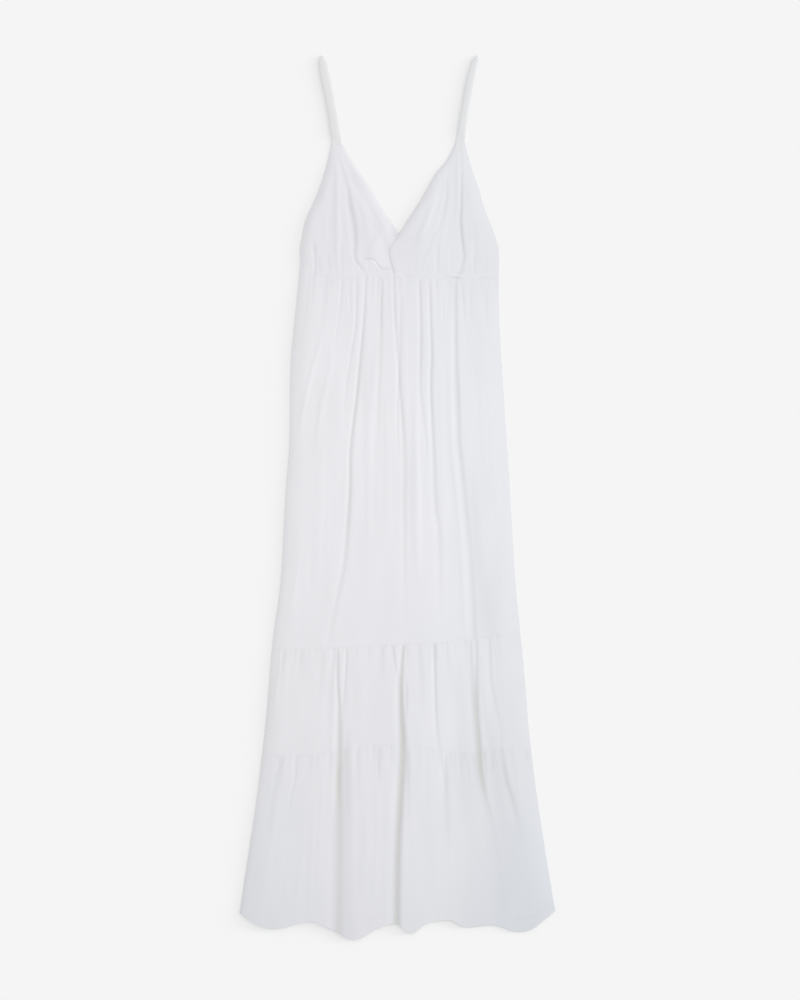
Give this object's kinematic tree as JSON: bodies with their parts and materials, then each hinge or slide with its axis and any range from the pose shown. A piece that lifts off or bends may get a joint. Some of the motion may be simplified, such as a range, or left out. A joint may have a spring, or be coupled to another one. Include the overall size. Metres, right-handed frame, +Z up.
{
  "type": "strappy maxi dress laid flat",
  "caption": "Ankle-length cotton dress laid flat, with thin straps, a crossed V neck, a gathered skirt and two gathered tiers.",
  "frame": {"origin": "centre of the bounding box at the surface that the dress lies on", "axes": "+X across the dress to the viewer's right, +Y along it towards the shoulder straps, +Z up through the front"},
  "size_m": [0.5166, 1.4498, 0.0074],
  "materials": {
    "cotton": "matt white crinkled cotton"
  },
  "bodies": {
    "root": {"strap_left": "cotton", "strap_right": "cotton", "cup_left": "cotton", "cup_right": "cotton", "bodice_back": "cotton", "underbust_band_front": "cotton", "underbust_band_back": "cotton", "skirt_front": "cotton", "skirt_back": "cotton", "tier_middle_front": "cotton", "tier_middle_back": "cotton", "tier_hem_front": "cotton", "tier_hem_back": "cotton"}
  },
  "joints": []
}
